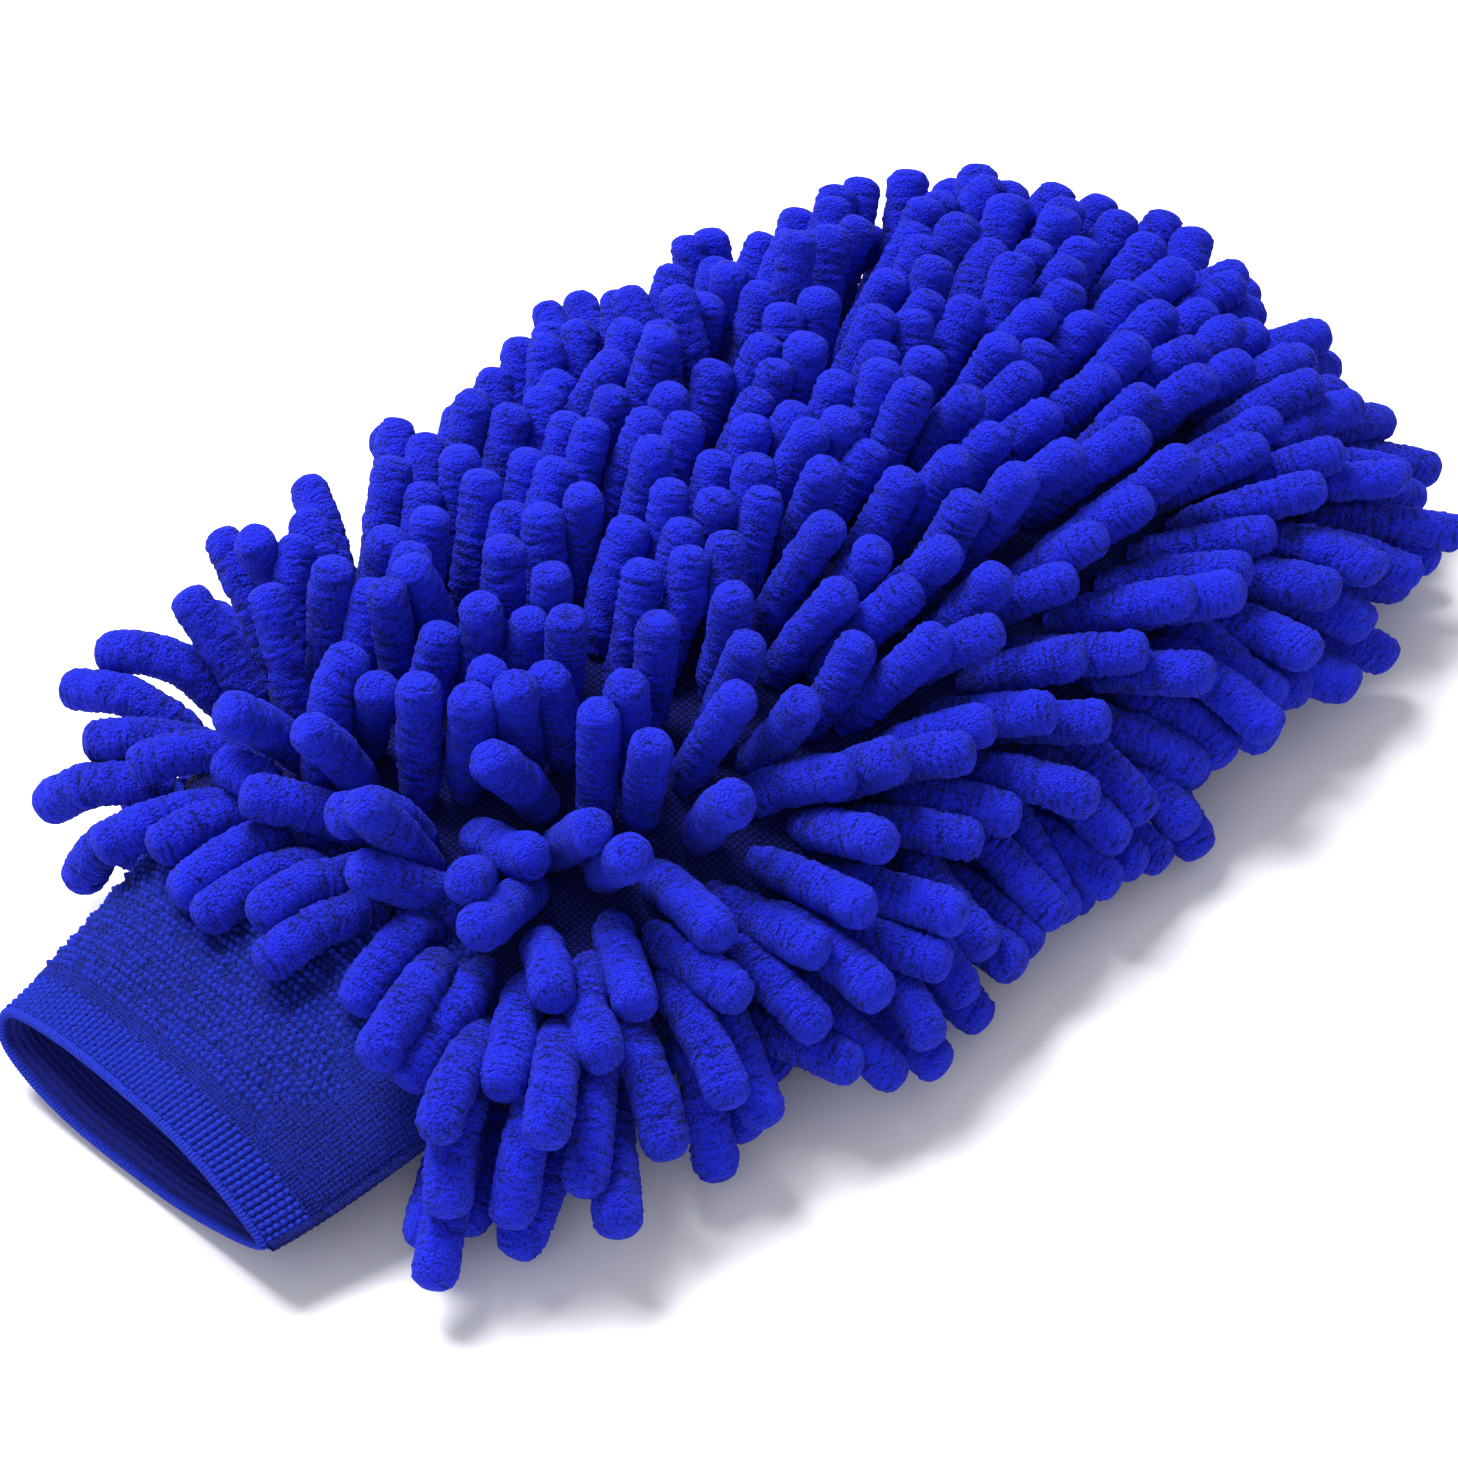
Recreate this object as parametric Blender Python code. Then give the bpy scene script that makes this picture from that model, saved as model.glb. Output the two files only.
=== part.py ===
"""Chenille wash mitt: a bag of two knitted panels with rows of fingers, a lining and a knitted cuff.

Metres, +Z up. The origin is on the surface that the mitt lies on, under the middle of its box.
+Y points to the closed fingertip end, -Y to the open cuff, and X runs across the palm.
"""

import math

import bmesh
import bpy

# Overall size
LENGTH = 0.310  # cuff rim to the tips of the last fingers
PILE_LENGTH = 0.2776  # the stretch that the chenille covers
PILE_WIDTH = 0.176
PILE_HEIGHT = 0.0730
FINGER_REACH = 0.019  # how far the fingers stand past the bag's sewn edge
OUTLINE_EXPONENT = 3.6  # of the superellipse that outlines the bag and the pile from above
OUTLINE_END = 0.985  # the share of that superellipse that is used, so that its ends are blunt

# Bag of two sewn panels
EDGE_HEIGHT = 0.024  # of the sewn edge, where the two panels meet
BAG_RISE = 0.021  # upper panel above the sewn edge
BAG_DROP = 0.0095  # lower panel below it
BAG_FULLNESS = 2.4  # exponent of the bag's cross-section
BACKING = 0.0012
LINING = 0.0006
LINING_INSET = 0.0075  # the lining keeps clear of the seam allowance
SEAM_ALLOWANCE = 0.005
SEAM_THICKNESS = 0.0010

# Cuff
CUFF_SEAM_Y = -0.0955
CUFF_HALF_WIDTH = (0.0487, 0.038)  # at the seam and at the rim
CUFF_HALF_HEIGHT = (0.012, 0.0108)
CUFF_RIM_HEIGHT = 0.013  # centre of the open rim above the table
CUFF_KNIT = 0.0015
CUFF_INNER = 0.0008
ELASTIC = 0.0008
RIB_BAND = 0.008
RIB_DEPTH = 0.0005
RIB_COUNT = 36
ROLLED_EDGE = 0.0016
INNER_LAYER_LENGTH = 0.050
CORNER_SHARPNESS = 0.22  # pinches the cuff's side with the seam into a corner
WELT_WIDTH = 0.0022  # the cuff's side seam
WELT_THICKNESS = 0.0014
JOIN_ALLOWANCE = 0.0018

# Chenille rows
ROWS = 14
FINGERS_OVER_CUFF = 0.026  # how far the first fingers hang over the cuff
OVERHANG_STEPS = (3, 2)  # stations past the cuff seam and past the bag's tip
BAG_STEPS = 25
TIP_CROWDING = 1.35  # sets the stations closer together towards the tip
TURN_STATIONS = 5
FINGER_WAIST = 0.09  # how much lower the pile is between two fingers
CUFF_PILE = 0.0075  # how far the first fingers stand off the cuff
CUFF_CLEARANCE = 0.0036  # under those fingers, where the pile's flats would cut the round side
CORE_SHARE = 0.55  # least width of the rows' roots, as a share of the pile's
PILE_FADE = 5  # exponent of the pile's fall towards both ends
PILE_FULLNESS_ABOVE = 3.0  # exponents of the pile's cross-section
PILE_FULLNESS_BELOW = 6.0
FLAT_SHARE = 1.04  # presses the middle of the underside flat

GAP = 0.0004
ROW_GAP = 0.03  # share of a row's width left free on each side
ARC_SAMPLES = 240
RING_STATIONS = 36
EDGE_STEPS = 44
WELT_STEPS = 6
BEAD_SIDES = 6

MID_Y = (LENGTH - PILE_LENGTH) / 2
RIM_Y = -LENGTH / 2
TIP_Y = LENGTH / 2
BAG_TIP_Y = TIP_Y - FINGER_REACH
PILE_HALF = PILE_LENGTH / 2
BAG_HALF = PILE_HALF - FINGER_REACH
CUFF_LENGTH = CUFF_SEAM_Y - RIM_Y

ULTRAMARINE = (0.020, 0.027, 0.62)
DEEP_BLUE = (0.012, 0.016, 0.36)
LINING_BLUE = (0.010, 0.014, 0.26)
THREAD_BLUE = (0.030, 0.040, 0.70)


def clear_scene():
    for obj in list(bpy.data.objects):
        bpy.data.objects.remove(obj, do_unlink=True)


def fabric(name, colour, roughness):
    material = bpy.data.materials.new(name)
    material.use_nodes = True
    shader = material.node_tree.nodes["Principled BSDF"]
    shader.inputs["Base Color"].default_value = (*colour, 1.0)
    shader.inputs["Roughness"].default_value = roughness
    shader.inputs["Metallic"].default_value = 0.0
    material.diffuse_color = (*colour, 1.0)
    return material


def from_axis(vertex):
    return math.hypot(vertex.co.x, vertex.co.z - centre_height(vertex.co.y))


def skin(name, loops, material, ring=False):
    """One closed body through loops of equal length, capped at both ends or, as a ring, joined end to start.

    Each four corners are split from the one nearer the mitt's axis, so neighbouring facets stay parallel.
    """
    bm = bmesh.new()
    rings = [[bm.verts.new(point) for point in loop] for loop in loops]
    pairs = list(zip(rings, rings[1:]))
    if ring:
        pairs.append((rings[-1], rings[0]))
    for first, second in pairs:
        for i in range(len(first)):
            j = (i + 1) % len(first)
            four = (first[i], first[j], second[j], second[i])
            if from_axis(four[0]) < from_axis(four[1]):
                halves = ((0, 1, 2), (0, 2, 3))
            else:
                halves = ((0, 1, 3), (1, 2, 3))
            for half in halves:
                bm.faces.new([four[corner] for corner in half])
    if not ring:
        bm.faces.new(rings[0])
        bm.faces.new(rings[-1])
    bmesh.ops.recalc_face_normals(bm, faces=bm.faces)
    mesh = bpy.data.meshes.new(name)
    bm.to_mesh(mesh)
    bm.free()
    mesh.shade_smooth()
    mesh.set_sharp_from_angle(angle=math.radians(40))
    mesh.materials.append(material)
    obj = bpy.data.objects.new(name, mesh)
    bpy.context.scene.collection.objects.link(obj)
    return obj


def mix(a, b, share):
    return a + (b - a) * share


def smooth(share):
    share = min(max(share, 0.0), 1.0)
    return share * share * (3 - 2 * share)


def squircle(share, exponent):
    return max(0.0, 1.0 - abs(share) ** exponent) ** (1.0 / exponent)


def cuff_share(y):
    """0 at the cuff seam, 1 at the rim."""
    return min(max((CUFF_SEAM_Y - y) / CUFF_LENGTH, 0.0), 1.0)


def centre_height(y):
    """Height of the sewn edge and, on the cuff, of the tube's centre."""
    return mix(EDGE_HEIGHT, CUFF_RIM_HEIGHT, smooth(cuff_share(y)))


def cuff_half_width(y):
    return mix(*CUFF_HALF_WIDTH, cuff_share(y))


def cuff_half_height(y):
    return mix(*CUFF_HALF_HEIGHT, cuff_share(y))


def bag_half_width(y, inset=0.0):
    if y < CUFF_SEAM_Y:
        return cuff_half_width(y) - inset
    half_width = PILE_WIDTH / 2 - FINGER_REACH - inset
    return half_width * squircle((y - MID_Y) / (BAG_HALF - inset + 0.0001), OUTLINE_EXPONENT)


def bag_height(y, middle):
    """How far a panel bulges from the sewn edge: middle at the palm, the cuff's height at the cuff seam."""
    if y > MID_Y:
        return middle * math.sqrt(max(0.0, 1 - ((y - MID_Y) / BAG_HALF) ** 4))
    if y < CUFF_SEAM_Y:
        return cuff_half_height(y)
    return mix(middle, CUFF_HALF_HEIGHT[0], smooth((MID_Y - y) / (MID_Y - CUFF_SEAM_Y)))


def arc(half_width, height, count, fullness=BAG_FULLNESS):
    """count + 1 points (x, z), evenly spaced along the arch from -half_width over height to half_width."""
    fine = []
    for k in range(ARC_SAMPLES + 1):
        across = math.sin(math.pi * (k / ARC_SAMPLES - 0.5))
        fine.append((half_width * across, height * math.sqrt(max(0.0, 1 - abs(across) ** fullness))))
    along = [0.0]
    for (x0, z0), (x1, z1) in zip(fine, fine[1:]):
        along.append(along[-1] + math.hypot(x1 - x0, z1 - z0))
    points = [fine[0]]
    k = 0
    for step in range(1, count):
        target = along[-1] * step / count
        while along[k + 1] < target:
            k += 1
        share = (target - along[k]) / (along[k + 1] - along[k])
        points.append((mix(fine[k][0], fine[k + 1][0], share), mix(fine[k][1], fine[k + 1][1], share)))
    return points + [fine[-1]]


def pile_stations():
    before, after = OVERHANG_STEPS
    start = CUFF_SEAM_Y - FINGERS_OVER_CUFF
    stations = [mix(start, CUFF_SEAM_Y, k / before) for k in range(before)]
    stations += [mix(BAG_TIP_Y, CUFF_SEAM_Y, (1 - k / BAG_STEPS) ** TIP_CROWDING) for k in range(BAG_STEPS)]
    return stations + [mix(BAG_TIP_Y, TIP_Y, k / after) for k in range(after + 1)]


def bag_stations():
    """Pile stations on the bag: every second one, and each of the last ones, where the outline turns."""
    first = OVERHANG_STEPS[0]
    on_bag = pile_stations()[first : first + BAG_STEPS]
    turn = BAG_STEPS - TURN_STATIONS
    return [on_bag[0] + GAP] + on_bag[1:3] + on_bag[4:turn:2] + on_bag[turn:] + [BAG_TIP_Y - GAP]


def panel(name, side, thickness, inset, stations, segments, material):
    """Half of a bag's shell: side is 1 for the upper panel and -1 for the lower one."""
    middle = BAG_RISE if side > 0 else BAG_DROP
    loops = []
    for y in stations:
        half_width = bag_half_width(y, inset)
        layers_above = BACKING + GAP if inset else 0.0
        height = max(bag_height(y, middle) - layers_above - GAP / 2, thickness + GAP / 2)
        outer = arc(half_width, height, segments)
        inner = arc(half_width - thickness, height - thickness, segments)
        base = centre_height(y) + side * GAP / 2
        loops.append([(x, y, base + side * z) for x, z in outer + inner[::-1]])
    return skin(name, loops, material)


def between(first, second, share):
    return (mix(first[0], second[0], share), mix(first[1], second[1], share))


def pile_outline(y, side):
    """The pile's outer arch at this station, two segments to a row. The lower one may reach below z = 0."""
    share = OUTLINE_END * (y - MID_Y) / PILE_HALF
    fade = math.sqrt(max(0.0, 1 - abs(share) ** PILE_FADE))
    half_width = PILE_WIDTH / 2 * squircle(share, OUTLINE_EXPONENT)
    if y < MID_Y:
        half_width = max(half_width, cuff_half_width(y) + CUFF_PILE)
    if side < 0:
        height = FLAT_SHARE * centre_height(y) * (fade if y > MID_Y else 1.0)
        return arc(half_width, height, ROWS * 2, PILE_FULLNESS_BELOW)
    height = (PILE_HEIGHT - EDGE_HEIGHT) * fade
    if y < MID_Y:
        height = max(height, bag_height(y, BAG_DROP) + CUFF_PILE)
    return arc(half_width, height, ROWS * 2, PILE_FULLNESS_ABOVE)


def pile_core(y, side, pile_half_width):
    """The arch that the rows stand on: the bag, the cuff, or a flat root past the bag's tip."""
    clearance = CUFF_CLEARANCE if y <= CUFF_SEAM_Y else GAP
    half_width = max(bag_half_width(min(y, BAG_TIP_Y)), pile_half_width * CORE_SHARE)
    height = max(bag_height(y, BAG_RISE if side > 0 else BAG_DROP), BACKING + GAP)
    return arc(half_width + clearance, height + clearance, ROWS)


def finger_tops(outside, inside, waist, deepest):
    """A row's three outer corners, drawn in between fingers, but squashed flat where they meet the table."""
    roots = (inside[0], between(*inside, 0.5), inside[1])
    tops = []
    for far, root in zip(outside, roots):
        top = far if far[1] >= deepest else between(far, root, waist)
        tops.append((top[0], min(top[1], deepest)))
    return tops


def pile_row(name, side, row, material):
    """One lengthwise row of chenille fingers, between the bag or cuff and the pile's outer shape."""
    loops = []
    for k, y in enumerate(pile_stations()):
        base = centre_height(y)
        outline = pile_outline(y, side)
        core = pile_core(y, side, outline[-1][0])
        low, high = core[row], core[row + 1]
        inside = [between(low, high, ROW_GAP), between(low, high, 1 - ROW_GAP)]
        low, middle, high = outline[2 * row : 2 * row + 3]
        outside = [between(low, high, ROW_GAP), middle, between(low, high, 1 - ROW_GAP)]
        waist = FINGER_WAIST if (k + row) % 2 else 0.0
        deepest = base - GAP / 2 if side < 0 else PILE_HEIGHT
        loop = inside + finger_tops(outside, inside, waist, deepest)[::-1]
        loops.append([(x, y, base + side * (z + GAP / 2)) for x, z in loop])
    return skin(name, loops, material)


def cuff_point(angle, y, inset):
    """A point of the cuff's section, inset from its outer face. At angle 0 it is pinched towards the rim."""
    across = math.cos(angle)
    fullness = mix(BAG_FULLNESS, 2.0, cuff_share(y))
    power = 0.5
    if across > 0:
        power += CORNER_SHARPNESS * smooth(cuff_share(y)) * across
    height = max(0.0, 1 - abs(across) ** fullness) ** power
    x = (cuff_half_width(y) - inset) * across
    z = (cuff_half_height(y) - inset) * math.copysign(height, math.sin(angle))
    return (x, y, centre_height(y) + z)


def cuff_ring(name, profile, material, stations=RING_STATIONS, relief=0.0):
    """A band round the cuff. profile lists (y, inset) points, and relief raises its outer face in ribs."""
    loops = []
    for k in range(stations):
        angle = 2 * math.pi * (k + 0.5) / stations
        raised = relief if k % 4 < 2 else 0.0
        lifts = [raised if inset <= RIB_DEPTH else 0.0 for _, inset in profile]
        loops.append([cuff_point(angle, y, inset - lift) for (y, inset), lift in zip(profile, lifts)])
    return skin(name, loops, material, ring=True)


def wall(start, end, outer, thickness, steps):
    """Profile of a thin wall from start to end along Y, its outer face that far inside the cuff's surface."""
    there = [(mix(start, end, k / steps), outer) for k in range(steps + 1)]
    back = [(y, outer + thickness) for y, _ in reversed(there)]
    return there + back


def make_cuff():
    knit = fabric("cuff_knit", ULTRAMARINE, 0.9)
    band_end = RIM_Y + ROLLED_EDGE + GAP
    band_start = band_end - GAP + RIB_BAND
    knit_profile = wall(CUFF_SEAM_Y - GAP, band_start + GAP, 0.0, CUFF_KNIT, 4)
    cuff_ring("cuff_outer_knit", knit_profile, knit)
    band_profile = wall(band_start, band_end, RIB_DEPTH, CUFF_KNIT - RIB_DEPTH, 1)
    cuff_ring("cuff_rib_band", band_profile, knit, stations=RIB_COUNT * 4, relief=RIB_DEPTH)

    elastic_profile = wall(band_end + ELASTIC, band_start - ELASTIC, CUFF_KNIT + GAP, ELASTIC, 1)
    cuff_ring("cuff_elastic_band", elastic_profile, fabric("elastic", LINING_BLUE, 0.7))
    behind_elastic = CUFF_KNIT + ELASTIC + 2 * GAP
    inner_profile = wall(band_end, band_end + INNER_LAYER_LENGTH, behind_elastic, CUFF_INNER, 4)
    cuff_ring("cuff_inner_layer", inner_profile, fabric("cuff_inner", LINING_BLUE, 0.95))


def make_rolled_edge():
    """The overlocked rim, a bead that closes the outer knit over the inner layer."""
    bead = []
    for k in range(BEAD_SIDES):
        angle = 2 * math.pi * (k + 0.5) / BEAD_SIDES
        out = math.cos(angle) / math.cos(math.pi / BEAD_SIDES)
        bead.append((RIM_Y + ROLLED_EDGE / 2 * (1 + out), ROLLED_EDGE * (0.6 + 0.5 * math.sin(angle))))
    cuff_ring("cuff_rolled_edge", bead, fabric("rolled_edge", ULTRAMARINE, 0.9))


def make_cuff_join_seam():
    """The overlocked allowance that joins the cuff to the bag, inside both."""
    start = CUFF_SEAM_Y - BACKING / 2
    profile = wall(start, start - JOIN_ALLOWANCE, CUFF_KNIT + GAP, SEAM_THICKNESS, 1)
    cuff_ring("cuff_join_seam", profile, fabric("join_thread", THREAD_BLUE, 0.8))


def make_cuff_side_seam():
    """The flat welt that closes the knitted cuff into a tube, along its pinched side."""
    loops = []
    start = RIM_Y + ROLLED_EDGE / 2
    end = CUFF_SEAM_Y - FINGERS_OVER_CUFF - GAP
    for k in range(WELT_STEPS + 1):
        y = mix(start, end, k / WELT_STEPS)
        x = cuff_half_width(y) + GAP
        z = centre_height(y)
        section = [(0, -1.0), (1, -0.5), (1, 0.5), (0, 1.0)]
        loops.append([(x + out * WELT_WIDTH, y, z + up * WELT_THICKNESS / 2) for out, up in section])
    skin("cuff_side_seam", loops, fabric("side_seam", ULTRAMARINE, 0.85))


def edge_point(turn, inset):
    """A point of the bag's outline seen from above, inset from its edge."""
    power = 2 / OUTLINE_EXPONENT
    across = math.copysign(abs(math.cos(turn)) ** power, math.cos(turn))
    along = math.copysign(abs(math.sin(turn)) ** power, math.sin(turn))
    return ((PILE_WIDTH / 2 - FINGER_REACH - inset) * across, MID_Y + (BAG_HALF - inset) * along)


def make_perimeter_seam():
    """The allowance of both panels, overlocked together along the bag's edge, inside the bag."""
    loops = []
    outer = BACKING + 2.5 * GAP
    inner = outer + SEAM_ALLOWANCE
    half = SEAM_THICKNESS / 2
    start = math.asin((CUFF_SEAM_Y + SEAM_ALLOWANCE - MID_Y) / BAG_HALF)
    for k in range(EDGE_STEPS + 1):
        turn = mix(start, math.pi - start, k / EDGE_STEPS)
        loop = []
        for inset, up in ((outer, -half), (inner, -half), (inner, half), (outer, half)):
            x, y = edge_point(turn, inset)
            loop.append((x, y, EDGE_HEIGHT + up))
        loops.append(loop)
    skin("perimeter_overlock_seam", loops, fabric("seam_thread", THREAD_BLUE, 0.8))


def make_bag():
    backing = fabric("knit_backing", DEEP_BLUE, 0.9)
    lining = fabric("lining_mesh", LINING_BLUE, 0.8)
    stations = bag_stations()
    lining_stations = [y for y in stations[1::2] if y < BAG_TIP_Y - LINING_INSET - BACKING]
    for place, side in (("upper", 1), ("lower", -1)):
        panel(f"{place}_backing_panel", side, BACKING, 0.0, stations, ROWS, backing)
        panel(f"{place}_lining_panel", side, LINING, LINING_INSET, lining_stations, ROWS, lining)


def make_pile():
    shades = [fabric("chenille_light", ULTRAMARINE, 0.95), fabric("chenille_dark", DEEP_BLUE, 0.95)]
    for place, side in (("upper", 1), ("lower", -1)):
        for row in range(ROWS):
            pile_row(f"{place}_chenille_row_{row + 1:02d}", side, row, shades[row % 2])


def main():
    clear_scene()
    make_bag()
    make_perimeter_seam()
    make_cuff()
    make_rolled_edge()
    make_cuff_join_seam()
    make_cuff_side_seam()
    make_pile()


main()
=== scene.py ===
"""Visual model of a chenille wash mitt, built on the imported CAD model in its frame.

Metres, +Z up. +Y points to the closed fingertip end, -Y to the open cuff, and the mitt lies on z = 0.
"""

import math

import bpy
import numpy as np
from mathutils import Matrix, Vector


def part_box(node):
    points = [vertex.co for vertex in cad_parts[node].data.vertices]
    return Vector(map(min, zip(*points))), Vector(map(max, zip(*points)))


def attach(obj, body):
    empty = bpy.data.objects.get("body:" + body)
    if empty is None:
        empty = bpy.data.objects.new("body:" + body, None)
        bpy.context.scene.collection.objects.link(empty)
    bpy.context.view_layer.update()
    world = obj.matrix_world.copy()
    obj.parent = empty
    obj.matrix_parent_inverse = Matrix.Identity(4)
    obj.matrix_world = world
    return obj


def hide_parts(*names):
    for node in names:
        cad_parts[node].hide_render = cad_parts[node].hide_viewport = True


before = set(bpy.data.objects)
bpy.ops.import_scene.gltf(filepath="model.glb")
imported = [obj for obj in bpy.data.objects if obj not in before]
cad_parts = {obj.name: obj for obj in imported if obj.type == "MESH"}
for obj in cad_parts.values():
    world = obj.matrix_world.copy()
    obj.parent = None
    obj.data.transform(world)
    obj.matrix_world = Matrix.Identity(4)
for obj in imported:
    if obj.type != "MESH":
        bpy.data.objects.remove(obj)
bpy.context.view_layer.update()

BODY = "root"
MM = 0.001
ROWS = 14
SIDES = {"upper": 1, "lower": -1}

# The bag and the cuff, which repeat the CAD shapes. Most of their sizes come from the frame's boxes.
# GAP is the clearance that the CAD model leaves round its backing panels.
GAP = 0.4 * MM
BAG_LOW, BAG_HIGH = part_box("upper_backing_panel")
UNDER_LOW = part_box("lower_backing_panel")[0]
SEAM_LOW, SEAM_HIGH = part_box("perimeter_overlock_seam")
KNIT_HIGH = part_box("cuff_outer_knit")[1]
BAND_LOW, BAND_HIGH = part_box("cuff_rib_band")
RIM_LOW, RIM_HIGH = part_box("cuff_rolled_edge")
LAYER_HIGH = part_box("cuff_inner_layer")[1]
ELASTIC_LOW, ELASTIC_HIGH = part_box("cuff_elastic_band")

EDGE_HEIGHT = (SEAM_LOW.z + SEAM_HIGH.z) / 2
HALF_WIDTH = BAG_HIGH.x
BAG_TIP_Y = BAG_HIGH.y + GAP
CUFF_SEAM_Y = BAG_LOW.y - GAP
BAG_RISE = BAG_HIGH.z - EDGE_HEIGHT
BAG_DROP = EDGE_HEIGHT - UNDER_LOW.z + GAP
RIM_Y = RIM_LOW.y
CUFF_LENGTH = CUFF_SEAM_Y - RIM_Y
RIM_HEIGHT = 13.0 * MM

# Each pair is the cuff's half size at its seam and at its rim.
CUFF_HALF_WIDTH = (KNIT_HIGH.x, 38.0 * MM)
CUFF_HALF_HEIGHT = (12.0 * MM, 10.8 * MM)

# The bag's outline is widest at MID_Y. CORNER_SHARPNESS and FAR_ROUNDNESS shape the mouth's two ends.
MID_Y = 16.2 * MM
BAG_HALF = BAG_TIP_Y - MID_Y
OUTLINE_EXPONENT = 3.6
FULLNESS = 2.4
LINING_INSET = 7.5 * MM
CORNER_SHARPNESS = 0.22
FAR_ROUNDNESS = 0.14
LIP_SLACK = 3.4 * MM

# How the slack bag lies: its corners beside the cuff at -X and +X, its lean, and its tip.
SHOULDER_DROP = (18.0 * MM, 28.0 * MM)
SHOULDER_START = 33 * MM
SHOULDER_WIDTH = 22 * MM
SHOULDER_LENGTH = 52 * MM
SHOULDER_PAST_SEAM = 14 * MM
LEAN = 8.5 * MM
LEAN_LENGTH = 150 * MM
TIP_SKEW = 0.19
TIP_STRETCH = 1.4 * MM

# Chenille fingers. STRANDS and ROOT_SPACING hold a value for the upper side (1) and the lower (-1):
# where the strands of fingers lie, as shares of a row from its middle, and the fingers' spacing along them.
FINGER_RADIUS = 4.35 * MM
RADIUS_SPREAD = 0.035
FINGER_LENGTH = 27.0 * MM
LENGTH_SPREAD = 1.6 * MM
SHORTEST = 23 * MM
LONGEST = 34 * MM
STRANDS = {1: (-0.24, 0.24), -1: (0.0,)}
ROOT_SPACING = {1: 12.2 * MM, -1: 8.5 * MM}
ROOT_CLEARANCE = 7.2 * MM
CUFF_ZONE = 22 * MM
TIP_ZONE_START = 40 * MM
TIP_ZONE_LENGTH = 35 * MM
COMB = 0.52
STANDING_ANGLES = (10, 75)
LYING_ANGLES = (52, 100)
LUMP_WAVES = 7
LUMP_DEPTH = 0.07 * MM
CRUMB_DEPTH = 0.09 * MM

# Settling: the number of rounds, how near fingers may come, and the share of each error that a round
# corrects. The table rises from FLOOR_START to 0 in the first half of the steps.
JOINTS = 6
STEPS = 110
ROUNDS = 5
PAIRS_EVERY = 4
COLLISION_SHARE = 0.93
UNDERSIDE_SQUEEZE = 0.86
NEIGHBOUR_REACH = 11 * MM
PUSH = 1.4
CROWD_POWER = 0.7
HOME_PULL = 0.012
ROOT_PULL = 0.25
STIFFNESS = 0.16
FLOOR_START = -22 * MM
LOWEST = 0.2 * MM

# Panels: the backing's knit and the lining's net.
BACKING_WALES = 66
BACKING_COURSE = 1.9 * MM
WALE_DEPTH = 0.06 * MM
COURSE_DEPTH = 0.05 * MM
NET_TURN = 1.9
NET_DEPTH = 0.10 * MM
LINING_GAP = 2.0 * MM

AROUND = 28
BODY_RINGS = 48
CAP_RINGS = 10
CREASE_PITCH = 1.5 * MM

# Cuff knit: stitches round the cuff, and the pitch of the courses along it.
NUBS_AROUND = 112
NUB_PITCH = 1.5 * MM
NUB_HEIGHT = 1.1 * MM
PLAIN_WALES = 176
FINE_WALES = 210
WELT = 2.4 * MM
RIBS_AROUND = 118
RIB_PITCH = 1.45 * MM
RIB_HEIGHT = 0.8 * MM
RIM_STITCHES = 205
INNER_PITCH = 1.25 * MM
JOIN_STITCHES = 90

# Fabrics: the colour painted as shade in the hollows (dark), the colour on the raised fibres (light), and
# what fabric() says.
FABRICS = {
    "chenille": {
        "dark": (0.0024, 0.0036, 0.125), "light": (0.0125, 0.0225, 0.80),
        "grain": 0.60 * MM, "relief": 0.75 * MM, "sheen": 0.11, "shade_and_tone_share": 0.55, "creased": True,
    },
    "knit_backing": {
        "dark": (0.0015, 0.002, 0.06), "light": (0.010, 0.014, 0.50),
        "grain": 0.35 * MM, "relief": 0.5 * MM, "sheen": 0.06, "weave": 1.1 * MM,
    },
    "lining_mesh": {
        "dark": (0.006, 0.008, 0.14), "light": (0.012, 0.015, 0.30),
        "grain": 0.5 * MM, "relief": 0.15 * MM, "sheen": 0.05,
    },
    "cuff_knit": {
        "dark": (0.001, 0.002, 0.04), "light": (0.012, 0.032, 0.50),
        "grain": 0.30 * MM, "relief": 0.2 * MM, "sheen": 0.02, "shade_and_tone_share": 0.9,
    },
    "cuff_inner": {
        "dark": (0.002, 0.003, 0.05), "light": (0.010, 0.015, 0.22),
        "grain": 0.3 * MM, "relief": 0.12 * MM, "sheen": 0.03, "shade_and_tone_share": 0.6,
    },
    "elastic": {
        "dark": (0.010, 0.012, 0.20), "light": (0.020, 0.025, 0.40),
        "grain": 0.3 * MM, "relief": 0.1 * MM, "sheen": 0.05, "rough": 0.7,
    },
    "seam_thread": {
        "dark": (0.008, 0.011, 0.22), "light": (0.020, 0.028, 0.52),
        "grain": 0.25 * MM, "relief": 0.1 * MM, "sheen": 0.10, "rough": 0.8,
    },
}

# Camera: the photo's angle in degrees, the lens in millimetres, and the distance from its target.
CAMERA_AZIMUTH = 45.88
CAMERA_ELEVATION = 42.68
CAMERA_ROLL = -0.6
CAMERA_LENS = 85.13
CAMERA_DISTANCE = 0.6912
CAMERA_TARGET = (0.00417, RIM_Y + 0.1476, 0.018)

# Lights: the name, place and size in metres, and the power in watts of each one.
LIGHTS = (
    ("key", (-0.55, -0.05, 1.05), 0.6, 24.5),
    ("fill", (0.5, -0.8, 0.6), 0.9, 2.5),
)
WORLD_STRENGTH = 0.5

rng = np.random.default_rng(884)


def mix(a, b, share):
    return a + (b - a) * share


def smooth(share):
    share = np.clip(share, 0.0, 1.0)
    return share * share * (3 - 2 * share)


def unit(vectors):
    return vectors / np.maximum(np.linalg.norm(vectors, axis=-1, keepdims=True), 1e-12)


def squircle(share, exponent):
    return np.maximum(0.0, 1 - np.abs(share) ** exponent) ** (1 / exponent)


# Shape of the bag and the cuff


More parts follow.
